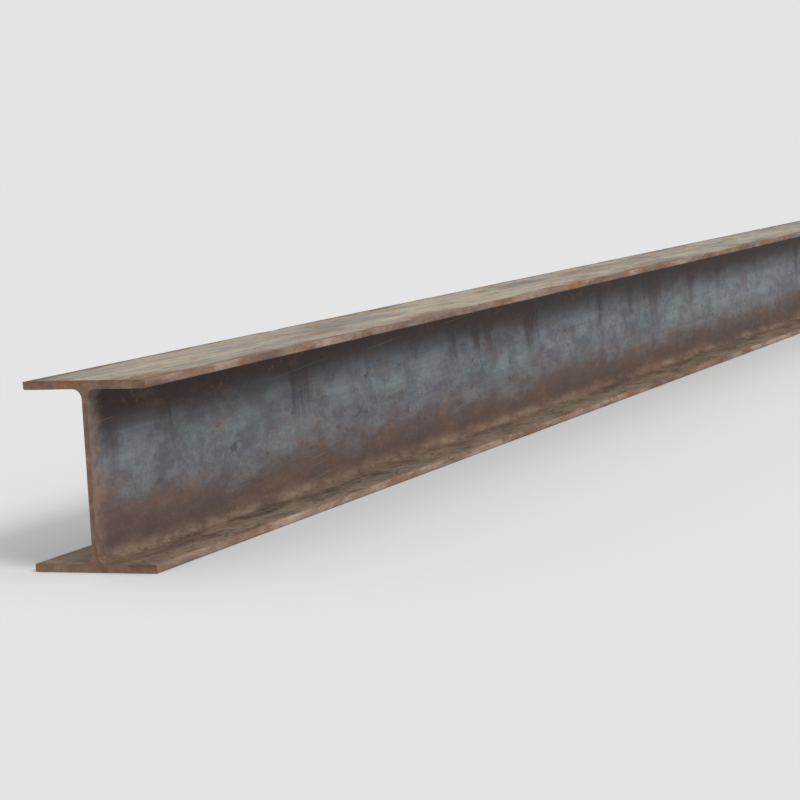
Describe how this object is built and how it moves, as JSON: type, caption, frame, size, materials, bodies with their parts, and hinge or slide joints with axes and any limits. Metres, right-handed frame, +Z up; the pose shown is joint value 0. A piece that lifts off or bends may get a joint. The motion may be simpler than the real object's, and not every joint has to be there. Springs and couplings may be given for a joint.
{
  "type": "steel h-beam",
  "caption": "Hot-rolled wide-flange steel H-beam with parallel flanges, root fillets and square sawn ends, rusted over its mill scale.",
  "frame": {"origin": "mid-length of the beam, under the web, on the underside of the bottom flange", "axes": "+X along the beam, +Y across the flanges, +Z up the web from the bottom flange to the top flange"},
  "size_m": [12, 0.175, 0.244],
  "materials": {
    "rolled_steel": "blue-grey mill scale with tan-brown rust on the flange toes, the lower web and the sawn ends"
  },
  "bodies": {
    "root": {"h_beam": "rolled_steel"}
  },
  "joints": []
}
